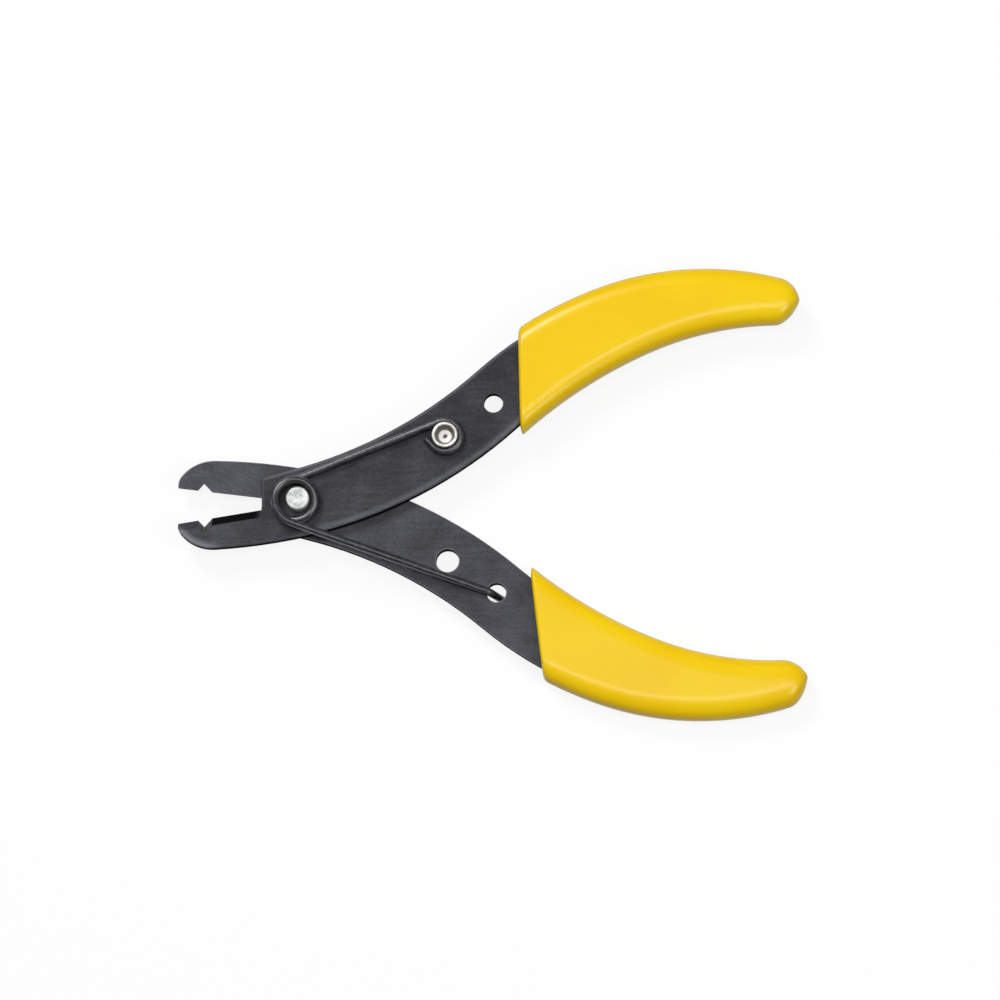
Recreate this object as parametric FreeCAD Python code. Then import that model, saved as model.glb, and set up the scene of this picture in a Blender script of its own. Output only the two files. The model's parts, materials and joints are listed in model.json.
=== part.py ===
import FreeCAD, Part
import math
import os

# All sizes are in millimetres and degrees, about the pivot: X towards the grips, Y towards the upper handle.
# The shear plane between the two arms is Z = 0, and the front arm lies above it.

PLATE = 2.7
LAP_GAP = 0.05
EDGE_ROUND = 0.8
EDGE_BREAK = 0.25
RIM_CHAMFER = 0.25

# outer edge of an arm, from its shoulder to the end of the handle
SHOULDER_X = -7.7
SHOULDER_Y = 5.0
NECK = (0.5, 7.2)
OUTER_BENDS = [(37.5, 26.9), (62.5, 41.7), (100.4, 43.0)]
# inner edge of an arm, from the belly of the jaw to the end of the handle
BELLY = (-17.6, -9.5)
BELLY_RISE = 2.1
INNER_BENDS = [(-1.5, -7.8), (45.5, 14.8), (72.5, 31.8)]
HANDLE_END_R = 3.0
NOSE = (-24.5, -6.4)

# jaw: a straight cutting edge, ground back across the plate, with a V notch cut along the bevel
TIP_X = -25.2
TIP_Y = -3.75
CUT_SLOPE = 8.2
BEVEL = 2.1
NOTCH_X = -19.8
NOTCH_DEPTH = 1.6
NOTCH_ANGLE = 85.0

PIVOT_D = 4.76
PIVOT_FIT = 0.03
PIVOT_RISE = 2.9
PIVOT_HEAD_D = 9.0
PIVOT_HEAD = 1.2
PIN_CHAMFER = 0.25
HEAD_GAP = 0.05

INNER_HOLE = (30.6, 12.8)
OUTER_HOLE = (40.65, 19.75)
OUTER_HOLE_D = 4.0
DIAL_PIN_D = 4.76
DIAL_PIN_FIT = 0.02

# dipped grips
GRIP_WALL = 2.0
GRIP_FACE = 2.1
GRIP_ROUND = 3.1
GRIP_LIP = 0.6
GRIP_BOND = 0.02
FRONT_DIP_X = 46.1
FRONT_DIP_LEAN = -0.5
REAR_DIP_X = 48.5
REAR_DIP_LEAN = 6.0
DIP_MID = 23.0

# torsion spring
WIRE_D = 1.6
COIL_MEAN_D = 7.8
COIL_SEAT = (-0.3, -0.2)
COIL_PITCH = 1.66
WIRE_GAP = 0.05
COIL_ARCS = 6
LEG_BEND_R = 6.0
LEG_SWEEP = 55.0
HOOK_FIT = 0.07
HOOK_END = 222.0
HOOK_TAIL = 2.2
LEG_LIFT = 0.85
END_SEAT = (-0.2, -0.5)
END_DIVE = 60.0
END_BEND = 1.6
END_OUT = 1.2

# stop dial, with one flat for each wire size and a last flat between the smallest and the largest
DIAL_THICK = 2.3
DIAL_GAP = 0.06
DIAL_FIT = 0.05
DIAL_CHAMFER = 0.3
STOP_GAP = 0.06
WIRE_SIZES = [12, 14, 16, 18, 20, 22, 24]
REST_FLAT = 3
LAST_FLAT = 1.05

# semi-tubular rivet of the dial, and the cupped washer under its head
FLARE_D = 5.4
FLARE_RISE = 2.35
FLARE_THICK = 0.6
FLARE_ROUND = 0.3
RECESS_TOP_D = 3.9
RECESS_D = 2.8
RECESS_DEPTH = 2.8
DIAL_HEAD_D = 6.4
DIAL_HEAD = 1.0
HEAD_ROUND = 0.5
CUP_D = 7.0
CUP_THICK = 0.3
CUP_RISE = 0.25
CUP_GAP = 0.03

FRONT_FACE = LAP_GAP / 2 + PLATE
CUT_TAN = math.tan(math.radians(CUT_SLOPE))
Z_AXIS = FreeCAD.Vector(0, 0, 1)


def point(xy, z=0.0):
    return FreeCAD.Vector(xy[0], xy[1], z)


def cut_edge_y(x):
    return TIP_Y + (x - TIP_X) * CUT_TAN


# A run of arcs, each leaving its start along the end of the one before; gives the edges and the last heading.
def smooth_run(start, heading, ends):
    edges = []
    for end in ends:
        chord = math.atan2(end[1] - start[1], end[0] - start[0])
        bend = (chord - heading + math.pi) % (2 * math.pi) - math.pi
        length = math.hypot(end[0] - start[0], end[1] - start[1])
        rise = length / 2 * math.tan(bend / 2)
        middle_x = (start[0] + end[0]) / 2 + rise * math.sin(chord)
        middle_y = (start[1] + end[1]) / 2 - rise * math.cos(chord)
        edges.append(Part.Arc(point(start), point((middle_x, middle_y)), point(end)).toShape())
        heading = chord + bend
        start = end
    return edges, heading


# The last bend of the inner edge, which runs tangent into the round end of the handle.
def handle_end(heading, outer_heading):
    start = INNER_BENDS[-1]
    across = (math.sin(heading), -math.cos(heading))
    centre_x = OUTER_BENDS[-1][0] + HANDLE_END_R * math.sin(outer_heading)
    centre_y = OUTER_BENDS[-1][1] - HANDLE_END_R * math.cos(outer_heading)
    gap = (start[0] - centre_x, start[1] - centre_y)
    square = gap[0] ** 2 + gap[1] ** 2 - HANDLE_END_R ** 2
    radius = square / 2 / (HANDLE_END_R - across[0] * gap[0] - across[1] * gap[1])
    bend_x = start[0] + radius * across[0]
    bend_y = start[1] + radius * across[1]
    share = radius / (radius + HANDLE_END_R)
    return bend_x + share * (centre_x - bend_x), bend_y + share * (centre_y - bend_y)


# The outline of an arm in the shear plane, before the jaw is ground.
def arm_outline():
    shoulder = (SHOULDER_X, SHOULDER_Y)
    throat = (SHOULDER_X, cut_edge_y(SHOULDER_X))
    tip = (TIP_X, TIP_Y)
    neck_heading = math.atan2(NECK[1] - SHOULDER_Y, NECK[0] - SHOULDER_X)
    outer, end_heading = smooth_run(NECK, neck_heading, OUTER_BENDS)
    inner, heading = smooth_run(BELLY, math.radians(BELLY_RISE), INNER_BENDS)
    end = handle_end(heading, end_heading)
    cap, _ = smooth_run(INNER_BENDS[-1], heading, [end, OUTER_BENDS[-1]])
    nose, _ = smooth_run(BELLY, math.radians(180 + BELLY_RISE), [NOSE, tip])
    lines = [(shoulder, NECK), (tip, throat), (throat, shoulder)]
    straight = [Part.LineSegment(point(a), point(b)).toShape() for a, b in lines]
    edges = straight + outer + cap + inner + nose
    return Part.Wire(Part.__sortEdges__(edges))


# A grinding tool: a plan outline slid up from the shear plane along the slope of the bevel.
def ground_away(plan):
    bottom = LAP_GAP / 2
    lean = FreeCAD.Vector(0, -BEVEL / math.cos(math.radians(CUT_SLOPE)), PLATE)
    face = Part.Face(Part.makePolygon([point(p, bottom) for p in plan + plan[:1]]))
    return face.extrude(lean * (1 + 1 / PLATE))


# A hole through the plate with its rims broken.
def rimmed_hole(centre, diameter):
    radius = diameter / 2
    low = LAP_GAP / 2
    hole = Part.makeCylinder(radius, PLATE, point(centre, low))
    wide = radius + RIM_CHAMFER
    lower = Part.makeCone(wide, radius, RIM_CHAMFER, point(centre, low))
    upper = Part.makeCone(radius, wide, RIM_CHAMFER, point(centre, FRONT_FACE - RIM_CHAMFER))
    return hole.fuse([lower, upper])


# The edges round one face of the blank, without the cutting edge.
def rim_edges(blank, height):
    edge_x = (TIP_X + SHOULDER_X) / 2
    cut_middle = point((edge_x, cut_edge_y(edge_x)), height)
    rim = [e for e in blank.Edges if abs(e.BoundBox.ZMin - height) < 0.01 and e.BoundBox.ZLength < 0.01]
    return [e for e in rim if e.CenterOfMass.distanceToPoint(cut_middle) > EDGE_ROUND]


# The one stamping both arms are made from, as the front arm.
def arm():
    blank = Part.Face(arm_outline()).extrude(Z_AXIS * PLATE)
    blank.translate(Z_AXIS * (LAP_GAP / 2))
    blank = blank.makeFillet(EDGE_ROUND, rim_edges(blank, FRONT_FACE))
    blank = blank.makeFillet(EDGE_BREAK, rim_edges(blank, LAP_GAP / 2))
    above = 2 * PLATE
    beyond = TIP_X - PLATE
    slab = [(beyond, cut_edge_y(beyond)), (SHOULDER_X, cut_edge_y(SHOULDER_X))]
    slab += [(SHOULDER_X, cut_edge_y(SHOULDER_X) + above), (beyond, cut_edge_y(beyond) + above)]
    bevel = ground_away(slab)
    half = NOTCH_DEPTH * math.tan(math.radians(NOTCH_ANGLE / 2))
    apex = (NOTCH_X, cut_edge_y(NOTCH_X) - NOTCH_DEPTH)
    wing = 2.0
    spread = half * wing
    lift = apex[1] + NOTCH_DEPTH * wing
    notch = ground_away([apex, (NOTCH_X + spread, lift), (NOTCH_X - spread, lift)])
    pivot = rimmed_hole((0, 0), PIVOT_D + 2 * PIVOT_FIT)
    inner = rimmed_hole(INNER_HOLE, DIAL_PIN_D + 2 * DIAL_PIN_FIT)
    outer = rimmed_hole(OUTER_HOLE, OUTER_HOLE_D)
    return blank.cut([bevel, notch, pivot, inner, outer])


# Turns a piece of the front arm over, into the same piece of the rear arm.
def turned_over(shape):
    return shape.rotated(FreeCAD.Vector(0, 0, 0), FreeCAD.Vector(1, 0, 0), 180)


# Everything on the grip side of a dip line, as a block.
def beyond_dip(dip_x, lean):
    reach = 2 * OUTER_BENDS[-1][0]
    block = Part.makeBox(reach, reach, reach, point((dip_x, DIP_MID - reach / 2), -reach / 2))
    return block.rotated(point((dip_x, DIP_MID)), Z_AXIS, -lean)


# The handle past a dip line, grown in plan and in height, its long edges rounded above or on both sides.
def handle_block(dip_x, lean, grow, deep, radius, both):
    bottom = LAP_GAP / 2 - deep
    top = FRONT_FACE + deep
    run_out = 2 * GRIP_ROUND
    grown = Part.Face(arm_outline()).makeOffset2D(grow, join=0)
    block = grown.extrude(Z_AXIS * (top - bottom)).translated(Z_AXIS * bottom)
    block = block.common(beyond_dip(dip_x - run_out, lean))
    lowest = bottom if both else top
    rims = [e for e in block.Edges if e.BoundBox.ZLength < 0.01 and e.BoundBox.ZMin > lowest - 0.01]
    far_side = beyond_dip(dip_x - run_out / 2, lean)
    return block.makeFillet(radius, [e for e in rims if far_side.distToShape(e)[0] < 0.01])


# A dipped grip: the handle grown by the wall, ended at its dip line and hollow for the handle.
def grip(dip_x, lean):
    body = handle_block(dip_x, lean, GRIP_WALL, GRIP_FACE, GRIP_ROUND, True)
    body = body.common(beyond_dip(dip_x, lean))
    heading = FreeCAD.Vector(-math.cos(math.radians(lean)), math.sin(math.radians(lean)), 0)
    mouth = [f for f in body.Faces if f.normalAt(0, 0).getAngle(heading) < 0.01]
    body = body.makeFillet(GRIP_LIP, mouth[0].Edges)
    return body.cut(handle_block(dip_x, lean, GRIP_BOND, GRIP_BOND, EDGE_ROUND, False))


# A solid of revolution about a vertical axis, from a half outline of (radius, height) points.
def turned(profile, centre):
    wire = Part.makePolygon([FreeCAD.Vector(r, 0, z) for r, z in profile + profile[:1]])
    solid = Part.Face(wire).revolve(FreeCAD.Vector(0, 0, 0), Z_AXIS, 360)
    return solid.translated(point(centre))


# The pivot rivet: a plain pin with a low head behind the rear arm.
def pivot_rivet():
    radius = PIVOT_D / 2
    top = FRONT_FACE + PIVOT_RISE
    seat = -FRONT_FACE - HEAD_GAP
    pin = Part.makeCylinder(radius, top - seat, point((0, 0), seat))
    pin = pin.makeChamfer(PIN_CHAMFER, [e for e in pin.Edges if e.BoundBox.ZMin > top - 0.01])
    head_r = PIVOT_HEAD_D / 2
    dome_r = (head_r ** 2 + PIVOT_HEAD ** 2) / (2 * PIVOT_HEAD)
    dome = Part.makeSphere(dome_r, point((0, 0), seat - PIVOT_HEAD + dome_r))
    room = 4 * dome_r
    below = Part.makeBox(room, room, room, point((-room / 2, -room / 2), seat - room))
    return pin.fuse(dome.common(below)).removeSplitter()


# A point on a circle about a vertical axis.
def around(centre, radius, angle, height):
    return FreeCAD.Vector(centre[0] + radius * math.cos(angle), centre[1] + radius * math.sin(angle), height)


# Where the lower leg of the spring goes down through the rear arm.
def end_hole():
    return OUTER_HOLE[0] + END_SEAT[0], END_SEAT[1] - OUTER_HOLE[1]


# The centre radius of the hook round the dial rivet.
def hook_radius():
    return DIAL_PIN_D / 2 + HOOK_FIT + WIRE_D / 2


# The headings of the wire: of the upper leg from the hook to the coil, and of the lower leg away from it.
def leg_headings():
    coil_r = COIL_MEAN_D / 2
    to_hook = point(INNER_HOLE) - point(COIL_SEAT)
    to_hole = point(end_hole()) - point(COIL_SEAT)
    away = LEG_BEND_R - (LEG_BEND_R - coil_r) * math.cos(math.radians(LEG_SWEEP))
    upper = math.atan2(-to_hook.y, -to_hook.x) - math.asin((coil_r - hook_radius()) / to_hook.Length)
    lower = math.atan2(to_hole.y, to_hole.x) + math.asin(away / to_hole.Length)
    return upper, lower


# Points round the coil, which climbs from the upper leg and opens into a wider bend before the lower leg.
def coil_points(level):
    upper, lower = leg_headings()
    coil_r = COIL_MEAN_D / 2
    sweep = math.radians(LEG_SWEEP)
    first = upper - math.pi / 2
    turned_by = 2 * math.pi + (lower - upper) % (2 * math.pi) - sweep
    climb = COIL_PITCH / (2 * math.pi)
    points = []
    for i in range(2 * COIL_ARCS + 1):
        turn = turned_by * i / (2 * COIL_ARCS)
        points.append(around(COIL_SEAT, coil_r, first + turn, level + climb * turn))
    bend_centre = around(COIL_SEAT, coil_r - LEG_BEND_R, first + turned_by, 0)
    for turn in (turned_by + sweep / 2, turned_by + sweep):
        points.append(around(bend_centre, LEG_BEND_R, first + turn, level + climb * turn))
    return points


# The lower leg: straight down to the rear arm, bent over, and on through its hole.
def lower_leg(start):
    _, heading = leg_headings()
    dive = math.radians(END_DIVE)
    ahead = FreeCAD.Vector(math.cos(heading), math.sin(heading), 0)
    corner = point(end_hole(), LEG_LIFT) - ahead * ((LEG_LIFT + FRONT_FACE - PLATE / 2) / math.tan(dive))
    down = ahead * math.cos(dive) - Z_AXIS * math.sin(dive)
    along = (corner - start).normalize()
    bend = along.getAngle(down)
    set_back = END_BEND * math.tan(bend / 2)
    middle = corner + (down - along).normalize() * (END_BEND / math.cos(bend / 2) - END_BEND)
    bend_start = corner - along * set_back
    bend_end = corner + down * set_back
    end = bend_end + down * ((bend_end.z + FRONT_FACE + END_OUT) / math.sin(dive))
    bent = Part.Arc(bend_start, middle, bend_end)
    return [Part.LineSegment(start, bend_start), bent, Part.LineSegment(bend_end, end)]


# The path of the spring wire: tail, hook, upper leg, coil and lower leg.
def spring_path():
    level = FRONT_FACE + WIRE_GAP + WIRE_D / 2
    upper, _ = leg_headings()
    first = math.radians(HOOK_END)
    turn = (upper - math.pi / 2 - first) % (2 * math.pi)
    hook = [around(INNER_HOLE, hook_radius(), first + turn * i / 2, level) for i in range(3)]
    tail = hook[0] + FreeCAD.Vector(math.sin(first), -math.cos(first), 0) * HOOK_TAIL
    coil = coil_points(level)
    edges = [Part.LineSegment(tail, hook[0]), Part.Arc(*hook), Part.LineSegment(hook[2], coil[0])]
    edges += [Part.Arc(*coil[i:i + 3]) for i in range(0, len(coil) - 2, 2)]
    edges += lower_leg(coil[-1])
    return Part.Wire([e.toShape() for e in edges]), tail, hook[0] - tail


# The torsion spring: round wire along its path.
def torsion_spring():
    path, start, along = spring_path()
    ring = Part.Circle(start, along, WIRE_D / 2).toShape()
    return path.makePipeShell([Part.Wire([ring])], True, False)


# How far the rear arm has closed when the two notches leave room for a wire of this gauge.
def closing_angle(gauge):
    wire = 0.127 * 92 ** ((36 - gauge) / 39)
    apex = (NOTCH_X, cut_edge_y(NOTCH_X) - NOTCH_DEPTH)
    reach = math.hypot(*apex)
    apart = wire / math.sin(math.radians(NOTCH_ANGLE / 2))
    full = 2 * math.atan2(-apex[1], -apex[0])
    return full - 2 * math.asin(apart / 2 / reach)


# The flats of the dial: for each setting, how far off and in which direction the closed rear arm stands.
def dial_flats():
    inner, _ = smooth_run(BELLY, math.radians(BELLY_RISE), INNER_BENDS)
    edge = turned_over(Part.Wire(inner[:2]))
    step = 2 * math.pi / (len(WIRE_SIZES) + 1)
    flats = []
    for i, gauge in enumerate(WIRE_SIZES):
        closed = edge.rotated(FreeCAD.Vector(0, 0, 0), Z_AXIS, math.degrees(closing_angle(gauge)))
        distance, pairs, _ = closed.distToShape(Part.Vertex(point(INNER_HOLE)))
        met = pairs[0][0] - point(INNER_HOLE)
        facing = math.atan2(met.y, met.x) + step * (REST_FLAT - i)
        flats.append((distance - STOP_GAP, facing))
    last = (flats[0][0] + flats[-1][0]) / 2 * LAST_FLAT
    flats.append((last, flats[-1][1] - step))
    return flats


# The adjusting dial: a cam with flats at growing distances from the rivet.
def adjusting_dial():
    flats = dial_flats()
    corners = []
    for i, (r, a) in enumerate(flats):
        s, b = flats[(i + 1) % len(flats)]
        along = (s - r * math.cos(b - a)) / math.sin(b - a)
        corners.append((r * math.cos(a) - along * math.sin(a), r * math.sin(a) + along * math.cos(a)))
    face = Part.Face(Part.makePolygon([point(c) for c in corners + corners[:1]]))
    dial = face.extrude(Z_AXIS * DIAL_THICK)
    dial = dial.makeChamfer(DIAL_CHAMFER, [e for e in dial.Edges if e.BoundBox.ZLength < 0.01])
    dial = dial.cut(Part.makeCylinder(DIAL_PIN_D / 2 + DIAL_FIT, DIAL_THICK))
    return dial.translated(point(INNER_HOLE, LAP_GAP / 2 - DIAL_GAP - DIAL_THICK))


# Where the cupped washer lies: the height of its rim against the dial, and of the rivet head it leans on.
def cup_levels():
    rim = LAP_GAP / 2 - DIAL_GAP - DIAL_THICK - CUP_GAP
    seat = rim - CUP_RISE - CUP_THICK - CUP_GAP
    return rim, seat


# The cupped spring washer between the dial and the rivet head.
def dial_spring_washer():
    rim, _ = cup_levels()
    bore = DIAL_PIN_D / 2 + DIAL_FIT
    profile = [(bore, rim - CUP_RISE - CUP_THICK), (CUP_D / 2, rim - CUP_THICK), (CUP_D / 2, rim)]
    return turned(profile + [(bore, rim - CUP_RISE)], INNER_HOLE)


# The semi-tubular rivet that carries the dial and holds the hook of the spring under its rolled rim.
def dial_rivet():
    _, seat = cup_levels()
    radius = DIAL_PIN_D / 2
    head_r = DIAL_HEAD_D / 2
    top = FRONT_FACE + FLARE_RISE
    flare_r = FLARE_D / 2
    recess_floor = top - RECESS_DEPTH
    base = seat - DIAL_HEAD
    profile = [(0, base), (head_r - HEAD_ROUND, base), (head_r, base + HEAD_ROUND)]
    profile += [(head_r, seat), (radius, seat), (radius, top - 2 * FLARE_THICK), (flare_r, top - FLARE_THICK)]
    profile += [(flare_r, top), (RECESS_TOP_D / 2, top), (RECESS_D / 2, recess_floor), (0, recess_floor)]
    rivet = turned(profile, INNER_HOLE)
    return rivet.makeFillet(FLARE_ROUND, [e for e in rivet.Edges if e.BoundBox.ZMin > top - 0.01])


front = arm()
pieces = {
    "front_arm": front,
    "rear_arm": turned_over(front),
    "front_grip": grip(FRONT_DIP_X, FRONT_DIP_LEAN),
    "rear_grip": turned_over(grip(REAR_DIP_X, REAR_DIP_LEAN)),
    "pivot_rivet": pivot_rivet(),
    "torsion_spring": torsion_spring(),
    "adjusting_dial": adjusting_dial(),
    "dial_spring_washer": dial_spring_washer(),
    "dial_rivet": dial_rivet(),
}

# the whole tool stands with the middle of its underside at the origin
box = Part.makeCompound(list(pieces.values())).optimalBoundingBox(False)
to_origin = FreeCAD.Vector(-box.Center.x, -box.Center.y, -box.ZMin)
os.makedirs("parts", exist_ok=True)
for name, shape in pieces.items():
    shape.translated(to_origin).exportStep(f"parts/{name}.step")
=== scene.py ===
import json
import math

import bmesh
import bpy
import numpy as np
from mathutils import Matrix, Vector


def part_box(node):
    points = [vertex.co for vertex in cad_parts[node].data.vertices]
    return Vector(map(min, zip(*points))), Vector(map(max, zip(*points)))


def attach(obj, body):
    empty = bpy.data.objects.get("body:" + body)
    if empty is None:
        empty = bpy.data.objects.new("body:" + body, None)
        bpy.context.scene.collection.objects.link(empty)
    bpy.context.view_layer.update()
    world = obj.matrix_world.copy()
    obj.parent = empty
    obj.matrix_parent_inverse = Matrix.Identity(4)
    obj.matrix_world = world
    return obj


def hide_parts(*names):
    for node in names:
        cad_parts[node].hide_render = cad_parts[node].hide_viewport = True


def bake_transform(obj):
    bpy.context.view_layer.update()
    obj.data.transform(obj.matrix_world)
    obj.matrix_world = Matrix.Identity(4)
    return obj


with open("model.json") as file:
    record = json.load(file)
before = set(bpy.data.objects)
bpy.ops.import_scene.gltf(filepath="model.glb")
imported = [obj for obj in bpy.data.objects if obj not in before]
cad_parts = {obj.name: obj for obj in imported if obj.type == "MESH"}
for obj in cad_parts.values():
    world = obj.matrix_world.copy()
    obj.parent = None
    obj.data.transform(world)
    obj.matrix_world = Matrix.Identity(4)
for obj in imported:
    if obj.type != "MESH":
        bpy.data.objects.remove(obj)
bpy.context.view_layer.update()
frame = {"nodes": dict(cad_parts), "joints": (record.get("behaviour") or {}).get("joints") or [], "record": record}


# Front arm and rear arm: one flat stamping of tool steel used twice, the second turned over.
# The plate is blackened and tumbled; its jaws are ground, and its sheared edges are darker, partly in their own
# finish and partly by painted shade.
# The points of its outline are in mm from the pivot, joined by arcs that run into each other.
MM = 0.001
joints = {joint["name"]: joint for joint in frame["joints"]}
pivot = np.array(joints["handle_pivot"]["pos_m"])
shoulder, neck = np.array([(-7.7, 5.0), (0.5, 7.2)])
outer_bends = np.array([(37.5, 26.9), (62.5, 41.7), (100.4, 43.0)])
belly, belly_rise = np.array([-17.6, -9.5]), math.radians(2.1)
inner_bends = np.array([(-1.5, -7.8), (45.5, 14.8), (72.5, 31.8)])
nose_bend = np.array([(-24.5, -6.4)])
notch_along = -19.8 * MM


def heading_of(angle):
    """A step of length 1 in plan towards an angle."""
    return np.array([math.cos(angle), math.sin(angle), 0.0])


def angle_of(vector):
    """The angle in plan that a vector points to."""
    return np.arctan2(vector[..., 1], vector[..., 0])


def smooth_arcs(start, heading, ends):
    """The (middle, radius) of each arc of a smooth run through points, and the heading at its end.

    An arc's chord leaves the heading by half of the arc's turn. The radius is half the chord over
    the sine of that angle, and the middle lies as far to the side that the arc turns to.
    """
    arcs = []
    for end in ends:
        chord = end - start
        bend = math.remainder(angle_of(chord) - heading, 2 * math.pi)
        radius = np.linalg.norm(chord) / 2 / math.sin(bend)
        arcs.append((start + radius * heading_of(heading + math.pi / 2)[:2], abs(radius)))
        heading += 2 * bend
        start = end
    return arcs, heading


inner_arcs, inner_heading = smooth_arcs(belly, belly_rise, inner_bends)
outer_arcs, outer_heading = smooth_arcs(neck, angle_of(neck - shoulder), outer_bends)
(nose_arc,), _ = smooth_arcs(belly, math.pi + belly_rise, nose_bend)


class Value:
    """One output socket of a shader; arithmetic on it adds Math nodes."""

    def __init__(self, shader, socket):
        self.shader = shader
        self.socket = socket

    def math(self, operation, first, second=0.0):
        return self.shader.node("Math", {"operation": operation}, {0: first, 1: second})

    def __add__(self, other):
        return self.math("ADD", self, other)

    __radd__ = __add__

    def __sub__(self, other):
        return self.math("SUBTRACT", self, other)

    def __rsub__(self, other):
        return self.math("SUBTRACT", other, self)

    def __mul__(self, other):
        return self.math("MULTIPLY", self, other)

    __rmul__ = __mul__

    def __abs__(self):
        return self.math("ABSOLUTE", self)

    def eased(self, low, high):
        """0 at low and 1 at high, eased in and out between them."""
        settings = {"interpolation_type": "SMOOTHSTEP"}
        return self.shader.node("MapRange", settings, {0: self, 1: low, 2: high, 3: 0.0, 4: 1.0})

    def eased_mm(self, low, high):
        """The same between two lengths in mm."""
        return self.eased(low * MM, high * MM)

    def near(self, middle, reach):
        """1 at the middle, easing to 0 at the reach on either side."""
        return abs(self - middle).eased(reach, 0.0)


class Finish:
    """A material: node() adds any node and gives one of its outputs."""

    def __init__(self, name):
        self.material = bpy.data.materials.new(name)
        self.material.use_nodes = True
        self.tree = self.material.node_tree
        self.surface = self.tree.nodes["Principled BSDF"]

    def node(self, kind, settings=None, sockets=None, out=0):
        made = self.tree.nodes.new("ShaderNode" + kind)
        for key, value in (settings or {}).items():
            setattr(made, key, value)
        for key, value in (sockets or {}).items():
            self.put(made.inputs[key], value)
        return Value(self, made.outputs[out])

    def put(self, socket, value):
        """Links a value to a socket, or sets a constant on it."""
        if isinstance(value, Value):
            self.tree.links.new(value.socket, socket)
        else:
            socket.default_value = value

    def mix(self, share, first, second):
        """Two colours mixed by a share from 0 to 1."""
        return self.node("Mix", {"data_type": "RGBA"}, {0: share, 6: first, 7: second}, out=2)

    def noise(self, spot, scale, detail, rough):
        """Noise from 0 to 1, with about as many lumps to a metre as the scale."""
        sockets = {"Vector": spot, "Scale": scale, "Detail": detail, "Roughness": rough}
        return self.node("TexNoise", None, sockets)

    def place(self, centre, turn=0.0, stretch=(1.0, 1.0, 1.0)):
        """Object coordinates about a centre, turned about Z and then stretched."""
        spot = self.node("TexCoord", None, None, out="Object")
        about = self.node("VectorMath", {"operation": "SUBTRACT"}, {0: spot, 1: tuple(centre)})
        turned = self.node("VectorRotate", None, {"Vector": about, "Angle": turn})
        return self.node("VectorMath", {"operation": "MULTIPLY"}, {0: turned, 1: stretch})

    def part(self, vector, axis):
        """One of the three numbers of a vector."""
        return self.node("SeparateXYZ", None, {0: vector}, out=axis)

    def facing(self, axis):
        """One of the three numbers of the surface's normal in object coordinates."""
        return self.part(self.node("TexCoord", None, None, out="Normal"), axis)

    def bump(self, height):
        """The normal of a surface raised by a height in metres."""
        return self.node("Bump", None, {"Height": height, "Distance": 1.0, "Strength": 1.0})

    def past(self, spot, arc=((0.0, 0.0), 0.0)):
        """How far in plan a spot lies outside an arc, whose (middle, radius) is in mm."""
        (x, y), radius = arc
        flat = self.node("VectorMath", {"operation": "MULTIPLY"}, {0: spot, 1: (1.0, 1.0, 0.0)})
        ends = {0: flat, 1: (x * MM, y * MM, 0.0)}
        return self.node("VectorMath", {"operation": "DISTANCE"}, ends, out="Value") - radius * MM

    def matt(self, share, colour):
        """Lays a plain matt colour over the surface by a share from 0 to 1."""
        under = Value(self, self.surface.outputs[0])
        over = self.node("BsdfDiffuse", None, {"Color": colour})
        both = self.node("MixShader", None, {0: share, 1: under, 2: over})
        self.put(self.tree.nodes["Material Output"].inputs["Surface"], both)

    def done(self, **sockets):
        """The material, with values or constants on its surface's sockets."""
        for name, value in sockets.items():
            self.put(self.surface.inputs[name.replace("_", " ")], value)
        return self.material


def linear(red, green, blue):
    """A screen colour from 0 to 255 as the linear colour that renders as it."""
    screen = np.array([red, green, blue]) / 255.0
    light = np.where(screen <= 0.04045, screen / 12.92, ((screen + 0.055) / 1.055) ** 2.4)
    return (*light.tolist(), 1.0)


def clothe(name, material):
    """Gives a CAD node its finish."""
    mesh = frame["nodes"][name].data
    mesh.materials.clear()
    mesh.materials.append(material)


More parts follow.
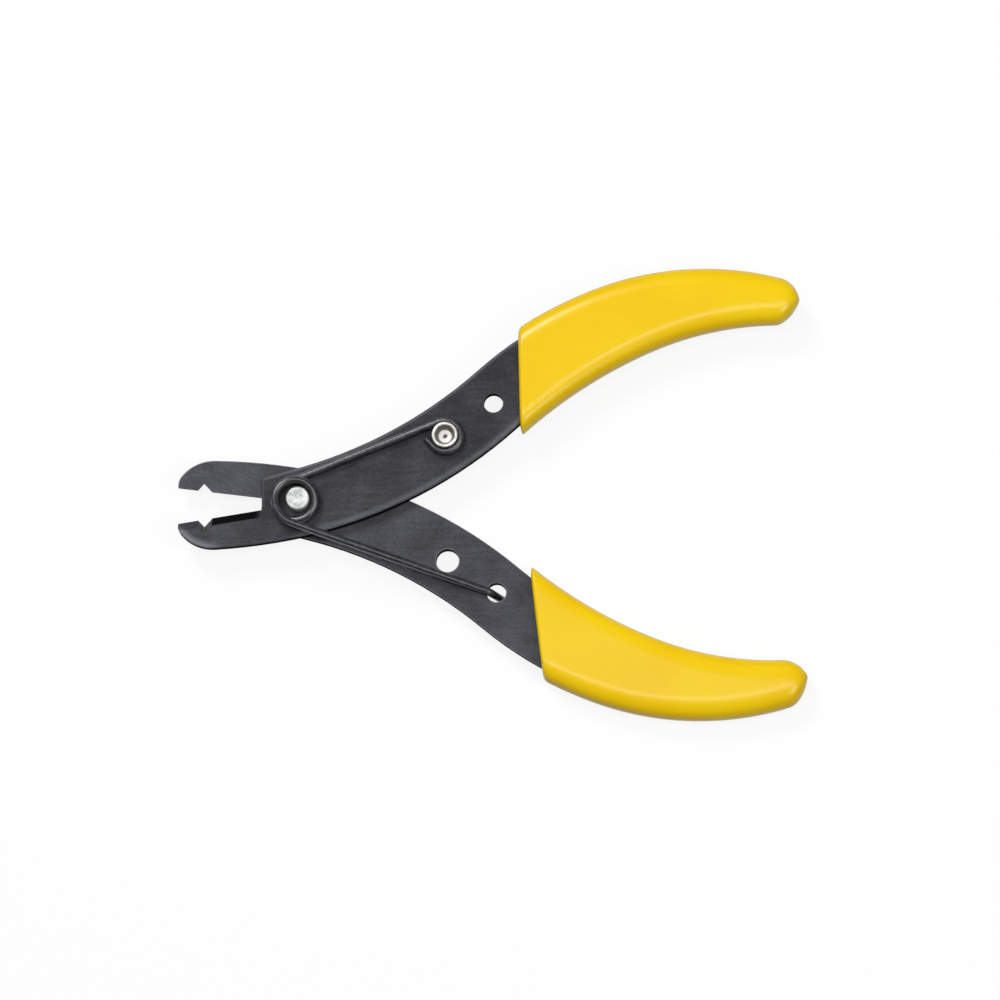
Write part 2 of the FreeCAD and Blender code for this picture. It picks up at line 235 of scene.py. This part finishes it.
def black_steel():
    """Blackened plate: cloudy oxide with fine tumbling grain, paler on the rounded edges, partly
    from wear and partly as a painted highlight.

    Grinding lines cross the rear jaw at a slant, painted shade darkens the front bevel, most behind the notch,
    and the notch keeps a brown line in its corner, with painted shade on its walls. Sheared walls are matt and
    nearly black, partly in their own finish and partly by painted shade, and the front arm has a painted
    highlight along the arc of its inner edge and round the nose of its jaw.
    """
    oxide, haze, black_and_painted_shade = linear(24, 25, 31), linear(84, 85, 93), linear(14, 14, 17)
    bare_and_highlight, edge_highlight_grey, rust = linear(150, 151, 158), linear(120, 123, 130), linear(128, 95, 60)
    grinding_slant = math.radians(30.0)
    bevel_lift = 0.61
    grain_deep = 0.012 * MM
    s = Finish("black_steel")
    spot = s.place(pivot)
    along, across, height = (s.part(spot, axis) for axis in range(3))
    rear = height.eased_mm(0.02, -0.02)
    front = 1.0 - rear
    jaw = along.eased_mm(shoulder[0] + 1.2, shoulder[0] - 1.8)
    rear_jaw = jaw * rear

    cloud = s.noise(spot, 130.0, 4.0, 0.6)
    grain = s.noise(spot, 1500.0, 3.0, 0.65)
    rolled = s.noise(s.place(pivot, 0.0, (1.0, 12.0, 12.0)), 130.0, 3.0, 0.6)
    ground = s.noise(s.place(pivot, grinding_slant, (1.0, 15.0, 15.0)), 260.0, 3.0, 0.6)
    lines = rolled + rear_jaw * (ground - rolled)
    tone = (cloud - 0.5) * 0.8 + (grain - 0.5) * 0.6 + (lines - 0.5) * (0.42 + rear_jaw * 0.6)
    tone = tone + rear * 0.17 + jaw * 0.14 + 0.27
    colour = s.mix(tone.eased(0.0, 1.0), oxide, haze)

    lift = abs(s.facing(2))
    rounded = lift.eased(0.3, 0.6) * lift.eased(0.985, 0.9)
    # The rounded edges are paler, partly from wear and partly as a painted highlight; the extra towards the nose
    # of the jaw is painted highlight.
    pale_edges = rounded * (0.1 + cloud * (0.35 + rear * 0.7) + along.eased_mm(-15.0, -20.0) * 0.7)
    bevel = lift.near(bevel_lift, 0.12) * jaw * abs(across).eased_mm(8.0, 7.4)
    colour = s.mix(pale_edges * (1.0 - bevel), colour, bare_and_highlight)
    # Painted highlight: a pale band along the arc of the front arm's inner edge, where its rolled edge catches the
    # light.
    painted_edge_highlight = s.past(spot, inner_arcs[1]).eased_mm(-1.7, -0.1) * along.eased_mm(-3.0, 6.0) * front
    colour = s.mix(painted_edge_highlight * (0.2 + cloud * 0.5), colour, edge_highlight_grey)
    # Painted highlight: a pale band round the nose of the front jaw, where its rounded edge catches the light.
    painted_nose_highlight = s.past(spot, nose_arc).eased_mm(-1.7, -0.2) * along.eased_mm(-16.0, -19.5) * front
    painted_nose_highlight = painted_nose_highlight * across.eased_mm(-4.2, -5.2)
    colour = s.mix(painted_nose_highlight * (0.3 + cloud * 0.6), colour, bare_and_highlight)

    notch = abs(s.facing(0)).eased(0.25, 0.4) * abs(along - notch_along).eased_mm(2.4, 2.2)
    notch = notch * abs(across).eased_mm(7.5, 7.0)
    corner = along.near(notch_along, 0.2 * MM) * notch * lift.eased(0.8, 0.7)
    colour = s.mix(corner * 0.8, colour, rust)
    behind = (along - notch_along).eased_mm(-0.2, 0.4)
    # Painted shade: the bevel behind the notch and the notch's walls get a matt near-black, and the whole bevel
    # gets a little of it.
    painted_notch_shade = bevel * behind * 0.45 + notch * lift.eased(0.93, 0.88) * 0.6
    # Painted shade in part: the steep sheared walls get a matt near-black. It stands partly for their own darker
    # finish and partly for the shade they lie in.
    sheared = lift.eased(0.3, 0.12) * (0.75 + grain * 0.3)
    s.matt((sheared + painted_notch_shade + bevel * 0.42).eased(0.0, 1.0) * (1.0 - corner), black_and_painted_shade)

    rough = (lines - 0.5) * 0.12 + (grain - 0.5) * 0.2 + 0.42
    normal = s.bump((lines * (0.2 + rear_jaw * 0.2) + grain * 0.3) * grain_deep)
    return s.done(Base_Color=colour, Roughness=rough, Metallic=0.1, Normal=normal, Specular_IOR_Level=0.32)


steel = black_steel()
clothe("front_arm", steel)
clothe("rear_arm", steel)


# Front grip and rear grip: soft vinyl, made by dipping the warm handles and letting them dry.
# Each is a sleeve: a crowned, glossy skin over a hollow that follows the handle, with a soft lip
# at its mouth. Its sizes are in mm, and the mouth's place and lean differ from grip to grip.
arm_low, arm_high = (corner[2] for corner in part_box("front_arm"))
plate = (arm_high - arm_low) / MM
plate_middle = ((arm_high + arm_low) / 2 - pivot[2]) / MM
skin_wall, skin_face, bond = 2.0, 2.1, 0.02
crown_reach, crown_power, point_power = 5.0, 2.4, 0.25
hollow_round = 0.8
lip, lip_corner, edge_length = 1.0, 0.8, 58.0
mouth_across = 23.0
drip = 0.8

# The handle's round end, and the arc of the inner edge that leaves the last bend and runs into it.
handle_end_r = 3.0
tip = outer_bends[-1] + handle_end_r * heading_of(outer_heading - math.pi / 2)[:2]
tip_r = handle_end_r + skin_wall
inward = heading_of(inner_heading - math.pi / 2)[:2]
from_tip = inner_bends[-1] - tip
last_r = (from_tip @ from_tip - handle_end_r ** 2) / 2 / (handle_end_r - from_tip @ inward)
inner_edge = inner_arcs[2], (inner_bends[-1] + last_r * inward, last_r)
outer_edge = outer_arcs[1:]


def round_points(middle, radius, angle):
    """Points round a middle, each at its own radius and angle."""
    return middle + radius[:, None] * np.stack([np.cos(angle), np.sin(angle)], 1)


def edge_line(arcs, side, place, inset, mouth, tip_turn):
    """Points in mm along a long edge: two arcs and a part of the round tip, moved in by an inset.

    The place is 0 at the mouth, 1 where the edge meets the tip and 2 at the end of the tip. The mouth
    is a straight cut, and the first arc begins where the cut's line leaves its circle.
    """
    (first, wide), (second, tight) = arcs
    wide = wide + side * (inset - skin_wall)
    tight = tight + side * (inset - skin_wall)
    dip, lean = mouth
    way = np.array([math.sin(lean), math.cos(lean)])
    off = np.array([dip, mouth_across]) - first
    run = np.sqrt((way @ off) ** 2 - off @ off + wide ** 2) - way @ off
    begin, meet = angle_of(off + run[:, None] * way), angle_of(second - first)
    leave = angle_of(tip - second)
    split = wide * (begin - meet) / (wide * (begin - meet) + tight * (meet - leave))
    early = round_points(first, wide, begin + (meet - begin) * place / split)
    later = round_points(second, tight, meet + (leave - meet) * (place - split) / (1 - split))
    round_end = round_points(tip, tip_r - inset, tip_turn[0] + (tip_turn[1] - tip_turn[0]) * (place - 1))
    column = place[:, None]
    return np.where(column <= split[:, None], early, np.where(column <= 1, later, round_end))


def sleeve_rings(place, inset, corner, tall, reach, mouth, lean, sides=128):
    """Rings in mm about the pivot, each across a grip from its inner edge to its outer edge and back below.

    At a distance d in from the edge a ring stands tall * (1 - (1 - d / reach) ** p) ** (1 / p) from
    the middle of the plate, so that it is round at the edge and level from the reach inwards. Past the
    middle of the tip, a share u of the way to its end, its width shrinks with (1 - u * u) ** q to a
    soft point, which leans across by u * u. The corner is a further inset of the inner edge alone,
    where the mouth would come to a sharp point.
    """
    low_turn = angle_of(tip - inner_edge[1][0]) - math.pi
    high_turn = angle_of(tip - outer_edge[1][0])
    end_turn = (low_turn + high_turn) / 2
    inner = edge_line(inner_edge, 1.0, place, inset + corner, mouth, (low_turn, end_turn))
    outer = edge_line(outer_edge, -1.0, place, inset, mouth, (high_turn, end_turn))
    angle = np.linspace(0.0, 2 * math.pi, sides, endpoint=False)
    spread = -np.cos(angle)
    middle, half = (inner + outer)[:, None] / 2, (outer - inner)[:, None] / 2
    flat = middle + half * spread[:, None]
    off_tip = flat - tip
    in_tip = np.abs(angle_of(off_tip) - end_turn) <= high_turn - end_turn
    to_edge = np.linalg.norm(half, axis=2) * (1 - np.abs(spread))
    to_end = (tip_r - inset)[:, None] - np.linalg.norm(off_tip, axis=2)
    depth = np.clip(np.where(in_tip, to_end, to_edge) / reach, 0.0, 1.0)
    height = tall[:, None] * (1 - (1 - depth) ** crown_power) ** (1 / crown_power) * np.sign(np.sin(angle))
    ahead, aside = heading_of(end_turn)[:2], heading_of(end_turn + math.pi / 2)[:2]
    past = np.clip(off_tip @ ahead / (tip_r - inset)[:, None], 0.0, 1.0)
    narrowed = (off_tip @ aside) * ((1 - past ** 2) ** point_power - 1)
    flat = flat + narrowed[:, :, None] * aside + lean * past[:, :, None] ** 2 * np.array([0.0, 1.0])
    return np.concatenate([flat, plate_middle + height[:, :, None]], 2)


def ringed_mesh(name, rings):
    """A closed skin over rings of points, a row to a ring; rings that shrink to a point close the ends."""
    rows, sides = rings.shape[:2]
    row = np.arange(rows - 1)[:, None] * sides
    here = np.arange(sides)
    after = (here + 1) % sides
    quads = np.stack([row + here, row + after, row + sides + after, row + sides + here], 2)
    mesh = bpy.data.meshes.new(name)
    mesh.from_pydata(rings.reshape(-1, 3).tolist(), [], quads.reshape(-1, 4).tolist())
    skin = bmesh.new()
    skin.from_mesh(mesh)
    bmesh.ops.remove_doubles(skin, verts=skin.verts, dist=0.0001 * MM)
    bmesh.ops.recalc_face_normals(skin, faces=skin.faces)
    skin.to_mesh(mesh)
    skin.free()
    mesh.shade_smooth()
    mesh.set_sharp_from_angle(angle=math.radians(40.0))
    return mesh


def placed(name, mesh, material):
    """A new piece with its finish, at the origin."""
    mesh.materials.append(material)
    piece = bpy.data.objects.new(name, mesh)
    bpy.context.scene.collection.objects.link(piece)
    return piece


def dipped_grip(name, mouth, lean, flip, material):
    """A sleeve from the blind end of its hollow to its mouth, over the lip and along the skin to the tip.

    The lip is a quarter turn: by an angle of it the place has grown with 1 - cos, and the inset that
    is left goes with 1 - sin. A flip of -1 turns the sleeve over about the pivot, as the rear arm is.
    """
    deep = np.concatenate([np.linspace(2.0, 1.0, 10), np.linspace(1.0, 0.0, 30)[1:]])
    even = np.ones(len(deep))
    hollow_in, hollow_tall = (skin_wall - bond) * even, (plate / 2 + bond) * even
    hollow = sleeve_rings(deep, hollow_in, 0 * even, hollow_tall, hollow_round, mouth, lean)
    turn = np.linspace(0.0, math.pi / 2, 9)
    lip_place = lip / edge_length
    body, end = np.linspace(lip_place, 1.0, 70)[1:], np.linspace(1.0, 2.0, 22)[1:]
    place = np.concatenate([lip_place * (1 - np.cos(turn)), body, end])
    inset = np.zeros(len(place))
    inset[:len(turn)] = lip * (1 - np.sin(turn))
    tall = plate / 2 + skin_face - inset
    skin = sleeve_rings(place, inset, lip_corner * inset, tall, crown_reach, mouth, lean)
    rings = pivot + np.concatenate([hollow, skin]) * (1, flip, flip) * MM
    return placed(name, ringed_mesh(name, rings), material)


def yellow_vinyl():
    """Dipped skin: clear yellow with slow waves, a faint pebble and a little wear from the hand."""
    thin, thick, soiled = linear(250, 205, 2), linear(252, 212, 6), linear(236, 190, 4)
    wave_deep, pebble_deep = 0.06 * MM, 0.001 * MM
    s = Finish("yellow_vinyl")
    spot = s.place(pivot)
    wave = s.noise(spot, 60.0, 2.0, 0.4)
    pebble = s.noise(spot, 1500.0, 2.0, 0.5)
    handled = s.noise(spot, 240.0, 4.0, 0.65).eased(0.56, 0.74)
    colour = s.mix(wave.eased(0.3, 0.7), thin, thick)
    colour = s.mix(handled * 0.08, colour, soiled)
    rough = 0.25 + handled * 0.03 + (pebble - 0.5) * 0.03
    normal = s.bump(wave * wave_deep + pebble * pebble_deep)
    return s.done(Base_Color=colour, Roughness=rough, Normal=normal, Specular_IOR_Level=0.36)


vinyl = yellow_vinyl()
front_mouth = 46.1, math.radians(-0.5)
rear_mouth = 48.5, math.radians(6.0)
front_sleeve = dipped_grip("front_sleeve", front_mouth, drip, 1.0, vinyl)
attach(front_sleeve, "front_handle")
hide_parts("front_grip")
rear_sleeve = dipped_grip("rear_sleeve", rear_mouth, -drip, -1.0, vinyl)
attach(rear_sleeve, "rear_handle")
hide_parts("rear_grip")


# Pivot rivet: a plain pin that the rear arm turns on, cut off bright inside the spring coil.
# Its end keeps crossing marks of the cutter, and a painted highlight makes a thin ring at its rim brighter than
# the middle.
def bright_pin():
    """Cut steel: two sets of crossing marks over a cloudy disc, with a painted highlight in a ring at the rim."""
    grey, bright = linear(146, 153, 158), linear(242, 244, 240)
    mark_deep = 0.01 * MM
    s = Finish("bright_pin")
    spot = s.place(pivot)
    first = s.noise(s.place(pivot, 0.6, (1.0, 26.0, 1.0)), 240.0, 3.0, 0.6)
    second = s.noise(s.place(pivot, -0.5, (1.0, 20.0, 1.0)), 300.0, 3.0, 0.6)
    marks = (first + second) * 0.5
    cloud = s.noise(spot, 420.0, 3.0, 0.6)
    # Painted highlight: the ring at the rim is made brighter, where the edge of the cut end catches the light.
    rim = s.past(spot).eased_mm(1.7, 2.15)
    tone = (marks - 0.5) * 1.2 + (cloud - 0.5) * 2.2 + rim * 0.25 + 0.47
    colour = s.mix(tone.eased(0.0, 1.0), grey, bright)
    normal = s.bump(marks * mark_deep)
    return s.done(Base_Color=colour, Roughness=0.3 + marks * 0.2, Metallic=0.3, Normal=normal)


clothe("pivot_rivet", bright_pin())


# Adjusting dial: a zinc-plated stop cam behind the front arm, turned by hand about its rivet.
# Each of its flats stops the rear arm where the two notches leave room for one size of wire.
def zinc_plate():
    """Plated steel: cloudy plating over fine turning lines, rubbed bright where corners stand out."""
    dull, pale, bright = linear(128, 130, 133), linear(188, 189, 190), linear(222, 222, 220)
    line_deep = 0.01 * MM
    s = Finish("zinc_plate")
    cloud = s.noise(s.place(pivot), 420.0, 4.0, 0.6)
    lines = s.noise(s.place(pivot, 0.7, (1.0, 22.0, 1.0)), 240.0, 3.0, 0.6)
    tone = (cloud + lines) * 0.5
    colour = s.mix(tone.eased(0.3, 0.7), dull, pale)
    pale_edges = abs(s.facing(2)).near(0.7, 0.2)
    colour = s.mix(pale_edges * 0.6, colour, bright)
    normal = s.bump(lines * line_deep)
    return s.done(Base_Color=colour, Roughness=0.28 + cloud * 0.22, Metallic=0.7, Normal=normal)


clothe("adjusting_dial", zinc_plate())


# Dial spring washer: a thin cup of blackened spring steel, pressed flat against the dial by the rivet.
# Its drag keeps the dial where it was set.
def black_wire():
    """Spring steel, drawn or rolled and blackened: smooth, with fine scuffs that are a little paler."""
    black, scuffed = linear(26, 27, 31), linear(72, 74, 80)
    scuff_deep = 0.0008 * MM
    s = Finish("black_wire")
    spot = s.place(pivot)
    scuff = s.noise(spot, 900.0, 4.0, 0.65)
    cloud = s.noise(spot, 200.0, 2.0, 0.5)
    tone = (scuff - 0.5) + (cloud - 0.5) * 0.6 + 0.35
    colour = s.mix(tone.eased(0.1, 0.9), black, scuffed)
    rough = 0.25 + scuff * 0.08
    normal = s.bump(scuff * scuff_deep)
    return s.done(Base_Color=colour, Roughness=rough, Normal=normal, Specular_IOR_Level=0.9)


spring_steel = black_wire()
clothe("dial_spring_washer", spring_steel)


# Dial rivet: a semi-tubular rivet in bright nickel that carries the dial behind the front arm.
# Its rim is rolled out over the hook of the spring; the drilled bore is brown, partly its own tint and partly
# painted shade, and painted light makes its floor bright.
# Its sizes are in mm.
dial_axis = np.array(joints["dial_turn"]["pos_m"])
rivet_low, rivet_high = (corner[2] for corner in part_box("dial_rivet"))
rivet_tall = (rivet_high - rivet_low) / MM
head_r, head_tall, head_round, head_break = 3.2, 1.0, 0.5, 0.1
shank_r = 2.38
rim_r, rim_round, rim_neck = 2.7, 0.3, 0.61
bore_r, bore_round, bore_deep = 2.08, 0.2, 2.0
floor_r, floor_round = 1.48, 0.15
dot_r, dot_round, dot_deep = 0.5, 0.6, 0.22


def bend_of(middle, radius, first, last, count=9):
    """Points (across, up) round a middle, from one angle to another in degrees."""
    angle = np.radians(np.linspace(first, last, count))
    return np.stack([middle[0] + radius * np.cos(angle), middle[1] + radius * np.sin(angle)], 1)


def rivet_section():
    """Half the rivet in mm: from the middle of its head out and up, over the rolled rim, down the bore."""
    top = rivet_tall
    floor = top - bore_deep
    return np.concatenate([
        [(0.0, 0.0)],
        bend_of((head_r - head_round, head_round), head_round, -90, 0),
        bend_of((head_r - head_break, head_tall - head_break), head_break, 0, 90, 5),
        [(shank_r, head_tall), (shank_r, top - rim_neck)],
        bend_of((rim_r - rim_round, top - rim_round), rim_round, -85, 90, 15),
        bend_of((bore_r + bore_round, top - bore_round), bore_round, 90, 170),
        bend_of((floor_r - floor_round, floor + floor_round), floor_round, 0, -90, 6),
        [(dot_r, floor)],
        bend_of((0.0, floor - dot_deep + dot_round), dot_round, -50, -90, 7),
    ])


def turned_mesh(name, section, axis, low, sides=96):
    """A section of (radius, height) in mm carried round an upright axis, standing on a height."""
    angle = np.linspace(0.0, 2 * math.pi, sides, endpoint=False)
    radius, height = section.T[:, :, None] * MM
    x, y = axis[0] + radius * np.cos(angle), axis[1] + radius * np.sin(angle)
    return ringed_mesh(name, np.stack([x, y, low + height + 0 * angle], 2))


def bright_nickel():
    """Nickel, scuffed and bright on the rim; painted light makes the floor of the bore, which has a punched dot,
    whiter and less metallic.

    Painted shade makes it brown under the rim and in a ring round the floor; down the bore it is brown, partly its
    own tint and partly painted shade.
    """
    scuffed, bright, painted_lit_white = linear(222, 219, 212), linear(246, 244, 240), linear(254, 252, 248)
    brown, dark, painted_under_rim_shade = linear(70, 57, 45), linear(46, 38, 34), linear(104, 90, 76)
    s = Finish("bright_nickel")
    spot = s.place((dial_axis[0], dial_axis[1], rivet_high))
    radius = s.past(spot)
    height = s.part(spot, 2)
    scuff = s.noise(spot, 800.0, 3.0, 0.6)
    colour = s.mix(scuff.eased(0.3, 0.7), scuffed, bright)
    inside = radius.eased_mm(bore_r + 0.12, bore_r + 0.02)
    inside = inside * height.eased_mm(-bore_deep - 1.2, -bore_deep - 0.8)
    # The bore's wall is brown, partly its own tint and partly painted shade.
    wall = inside * height.eased_mm(-0.1, -0.4)
    # Painted light: the floor of the bore is made whiter and less metallic, to look lit though it lies in shade.
    floor = inside * height.eased_mm(-bore_deep + 0.2, -bore_deep + 0.05)
    colour = s.mix(wall * (0.8 + scuff * 0.2), colour, brown)
    colour = s.mix(floor, colour, painted_lit_white)
    # Painted shade: a dark ring round the floor, where it meets the wall.
    dot, ring = radius.eased_mm(dot_r + 0.12, dot_r - 0.2), radius.eased_mm(floor_r - 0.2, floor_r - 0.06)
    colour = s.mix(floor * (dot + ring * 0.8) * 0.9, colour, dark)
    # Painted shade: brown under the rolled rim.
    under = radius.eased_mm(rim_r - 0.18, rim_r - 0.02) * height.eased_mm(-0.12, -rim_round)
    colour = s.mix(under * 0.7, colour, painted_under_rim_shade)
    return s.done(Base_Color=colour, Roughness=0.34 + scuff * 0.06, Metallic=0.45 - floor * 0.35)


rivet_mesh = turned_mesh("rolled_rivet", rivet_section(), dial_axis, rivet_low)
rivet = placed("rolled_rivet", rivet_mesh, bright_nickel())
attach(rivet, "front_handle")
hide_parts("dial_rivet")


# Torsion spring: one black spring wire, hooked round the dial rivet, coiled round the pivot pin
# and bent down through a hole of the rear arm. It opens the handles and bends as they close, but this wire is
# drawn in one shape that does not bend.
wire_r = 0.8 * MM
hook_r = 3.25 * MM
coil_r = 4.2 * MM
bend_r = 6.0 * MM
coil_pitch = 1.66 * MM
tail_long = 2.2 * MM
tail_from = math.radians(222.0)
sweep = math.radians(55.0)
dive = math.radians(60.0)
wire_gap = 0.05 * MM
leg_lift = 0.85 * MM
knee_back = 1.0 * MM
level = arm_high + wire_gap + wire_r
spring_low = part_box("torsion_spring")[0][2]
# The wire's end leans in the rear arm's outer hole, which lies across the tool from the front arm's.
mounts = {mount["name"]: np.array(mount["pos_m"]) for mount in frame["record"]["mounts"]}
end_off, coil_off = np.array([(-0.2, -0.5, 0.0), (-0.55, -0.2, 0.0)]) * MM
hole = mounts["front_outer_hole"] * (1, -1, 1) + end_off
coil_seat = pivot + coil_off


def turn_about(centre, radius, first, turn, low, rise, count):
    """Points round an upright axis from one angle through a turn, rising evenly from a height."""
    share = np.linspace(0.0, 1.0, count)
    angle = first + turn * share
    x, y = centre[0] + radius * np.cos(angle), centre[1] + radius * np.sin(angle)
    return np.stack([x, y, low + rise * share], 1)


def spring_line():
    """The middle of the wire: tail, hook, upper leg, rising coil, wider bend, lower leg and dive.

    The upper leg is the line that touches the hook and the coil, and the lower leg touches the bend
    and ends at the hole. The knee before the dive is a curve of the second degree about its corner.
    """
    to_hook = dial_axis - coil_seat
    to_hole = hole - coil_seat
    away = bend_r - (bend_r - coil_r) * math.cos(sweep)
    upper = angle_of(-to_hook) - math.asin((coil_r - hook_r) / math.hypot(*to_hook[:2]))
    lower = angle_of(to_hole) + math.asin(away / math.hypot(*to_hole[:2]))

    hook_turn = (upper - math.pi / 2 - tail_from) % (2 * math.pi)
    hook = turn_about(dial_axis, hook_r, tail_from, hook_turn, level, 0.0, 90)
    tail = hook[0] + heading_of(tail_from - math.pi / 2) * np.linspace(tail_long, 0.1 * MM, 4)[:, None]

    coil_from = upper - math.pi / 2
    coil_turn = 2 * math.pi + (lower - upper) % (2 * math.pi) - sweep
    coil_to = coil_from + coil_turn
    rise = coil_pitch / (2 * math.pi)
    coil = turn_about(coil_seat, coil_r, coil_from, coil_turn, level, rise * coil_turn, 240)
    bend_seat = coil_seat - (bend_r - coil_r) * heading_of(coil_to)
    bend = turn_about(bend_seat, bend_r, coil_to, sweep, coil[-1, 2], rise * sweep, 40)[1:]

    drop = leg_lift + plate_middle * MM
    corner = np.array([hole[0], hole[1], pivot[2] + leg_lift]) - heading_of(lower) * drop / math.tan(dive)
    down = heading_of(lower) * math.cos(dive) - np.array([0.0, 0.0, math.sin(dive)])
    along = (corner - bend[-1]) / np.linalg.norm(corner - bend[-1])
    start, stop = corner - along * knee_back, corner + down * knee_back
    share = np.linspace(0.0, 1.0, 12)[:, None]
    knee = (1 - share) ** 2 * start + 2 * share * (1 - share) * corner + share ** 2 * stop
    leg = bend[-1] + (start - bend[-1]) * np.linspace(0.0, 1.0, 24)[1:-1, None]
    reach = (stop[2] - spring_low) / math.sin(dive) - wire_r / math.tan(dive)
    end = stop + down * reach * np.linspace(0.0, 1.0, 5)[1:, None]
    return np.concatenate([tail, hook, coil, bend, leg, knee, end])


def wire_rings(line, radius, sides=28):
    """A ring square to the line at each of its points, with a broken edge and a point at both ends.

    A ring is the radius times cos towards the side and sin upwards, both square to the line.
    """
    edge_break, edge_swell = 0.2 * MM, 0.75
    step = np.gradient(line, axis=0)
    along = step / np.linalg.norm(step, axis=1, keepdims=True)
    aside = np.cross(along, (0.0, 0.0, 1.0))
    aside /= np.linalg.norm(aside, axis=1, keepdims=True)
    above = np.cross(aside, along)
    order = np.concatenate([[0, 0], np.arange(len(line)), [-1, -1]])
    swell = np.concatenate([[0.0, edge_swell], np.ones(len(line)), [edge_swell, 0.0]])
    shift = np.concatenate([[-edge_break] * 2, np.zeros(len(line)), [edge_break] * 2])
    angle = np.linspace(0.0, 2 * math.pi, sides, endpoint=False)
    ring = np.cos(angle)[:, None] * aside[order][:, None] + np.sin(angle)[:, None] * above[order][:, None]
    return (line[order] + along[order] * shift[:, None])[:, None] + ring * (radius * swell)[:, None, None]


spring = placed("spring_wire", ringed_mesh("spring_wire", wire_rings(spring_line(), wire_r)), spring_steel)
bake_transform(spring)
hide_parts("torsion_spring")


# The floor: a plain white sheet that the tool lies on. The camera and reflections see it white,
# and it keeps the tool's soft shadow.
def white_sheet():
    """A sheet whose glow is only for the camera, reflections and glass, over a grey that takes shadow."""
    dark, glow, grey = (0.0, 0.0, 0.0, 1.0), (0.88, 0.88, 0.88, 1.0), (0.12, 0.12, 0.12, 1.0)
    s = Finish("white_sheet")
    kinds = "Camera", "Glossy", "Transmission"
    seen = sum(s.node("LightPath", None, None, out=f"Is {kind} Ray") for kind in kinds)
    light = s.mix(seen.eased(0.0, 1.0), dark, glow)
    return s.done(Base_Color=grey, Roughness=0.9, Specular_IOR_Level=0.0,
                  Emission_Color=light, Emission_Strength=1.0)


sheet_half = 40.0
sheet_corners = [(x * sheet_half, y * sheet_half, 0.0) for x, y in ((-1, -1), (1, -1), (1, 1), (-1, 1))]
sheet_mesh = bpy.data.meshes.new("floor")
sheet_mesh.from_pydata(sheet_corners, [], [(0, 1, 2, 3)])
sheet = placed("floor", sheet_mesh, white_sheet())


# The lamps: a soft box to each side and a narrow one above, which draws the bright line along the grips.
# None of them stands where the flat faces would mirror it to the camera.
def softbox(name, place, size, power):
    """An area lamp of a width and a depth at a place, facing the tool."""
    lamp = bpy.data.lights.new(name, "AREA")
    lamp.shape = "RECTANGLE"
    lamp.size, lamp.size_y = size
    lamp.energy = power
    made = bpy.data.objects.new(name, lamp)
    made.location = place
    made.rotation_euler = (-Vector(place)).to_track_quat("-Z", "Y").to_euler()
    bpy.context.scene.collection.objects.link(made)


softbox("left_box", place=(-0.34, 0.56, 0.75), size=(0.3, 0.3), power=4.7)
softbox("right_box", place=(0.6, -0.3, 0.75), size=(0.4, 0.4), power=2.6)
softbox("strip", place=(0.0, 0.0, 1.0), size=(1.1, 0.14), power=3.2)
world = bpy.data.worlds.new("studio")
world.use_nodes = True
fill = world.node_tree.nodes["Background"].inputs
fill["Color"].default_value = (1.0, 1.0, 1.0, 1.0)
fill["Strength"].default_value = 0.16
bpy.context.scene.world = world


# The camera: a long lens above the tool, leaning back a little towards its lower handle.
# It looks at a point between the handles, and its roll sets the tool as it lies in the picture.
tilt, bearing, roll = (math.radians(angle) for angle in (12.2, 14.0, -15.039))
far, focal_px, frame_px = 1.5, 7243.0, 1000.0
aim = pivot + np.array([41.645, -0.29, 0.0]) * MM
back = np.array([math.sin(bearing) * math.sin(tilt), -math.cos(bearing) * math.sin(tilt), math.cos(tilt)])
level_axis = heading_of(bearing)
upright = np.cross(back, level_axis)
right = math.cos(roll) * level_axis + math.sin(roll) * upright
up = math.cos(roll) * upright - math.sin(roll) * level_axis
camera = bpy.data.cameras.new("camera")
camera.sensor_width = 36.0
camera.lens = camera.sensor_width * focal_px / frame_px
camera.clip_start = 0.01
eye = bpy.data.objects.new("camera", camera)
turned = Matrix(np.column_stack([right, up, back]).tolist()).to_4x4()
eye.matrix_world = Matrix.Translation(Vector(aim + far * back)) @ turned
bpy.context.scene.collection.objects.link(eye)
bpy.context.scene.camera = eye
bpy.context.scene.view_settings.view_transform = "Standard"
